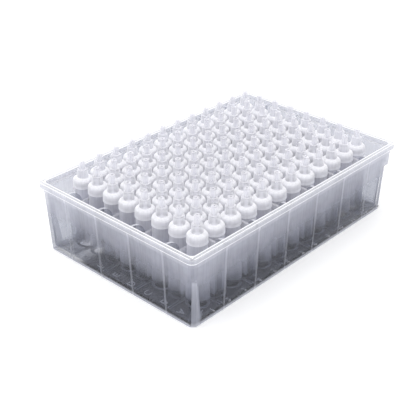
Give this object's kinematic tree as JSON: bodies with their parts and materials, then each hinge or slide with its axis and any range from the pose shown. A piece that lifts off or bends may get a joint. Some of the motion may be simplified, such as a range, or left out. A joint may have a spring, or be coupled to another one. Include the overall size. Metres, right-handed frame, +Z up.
{
  "type": "well plate",
  "caption": "Clear plastic filter plate for a biology lab, standing on its deck with its drip nozzles up, and a filter disc in each well.",
  "frame": {"origin": "middle of the deck's outer face, which the plate stands on", "axes": "+Z up along the nozzles, +X along the rows from the first column to the last, +Y from the first row to the last"},
  "size_m": [0.1278, 0.0854, 0.039],
  "materials": {
    "clear_polypropylene": "clear natural polypropylene, slightly milky, with a moulded gloss",
    "porous_filter": "white sintered plastic, dull"
  },
  "bodies": {
    "root": {"deck": "clear_polypropylene", "side_front": "clear_polypropylene", "side_right": "clear_polypropylene", "side_back": "clear_polypropylene", "side_left": "clear_polypropylene", "wells_1": "clear_polypropylene", "wells_2": "clear_polypropylene", "wells_3": "clear_polypropylene", "wells_4": "clear_polypropylene", "wells_5": "clear_polypropylene", "wells_6": "clear_polypropylene", "wells_7": "clear_polypropylene", "wells_8": "clear_polypropylene", "wells_9": "clear_polypropylene", "wells_10": "clear_polypropylene", "wells_11": "clear_polypropylene", "wells_12": "clear_polypropylene", "well_a1": "clear_polypropylene", "well_h1": "clear_polypropylene", "well_a12": "clear_polypropylene", "well_h12": "clear_polypropylene", "filter_discs_a": "porous_filter", "filter_discs_b": "porous_filter", "filter_discs_c": "porous_filter", "filter_discs_d": "porous_filter", "filter_discs_e": "porous_filter", "filter_discs_f": "porous_filter", "filter_discs_g": "porous_filter", "filter_discs_h": "porous_filter"}
  },
  "joints": []
}
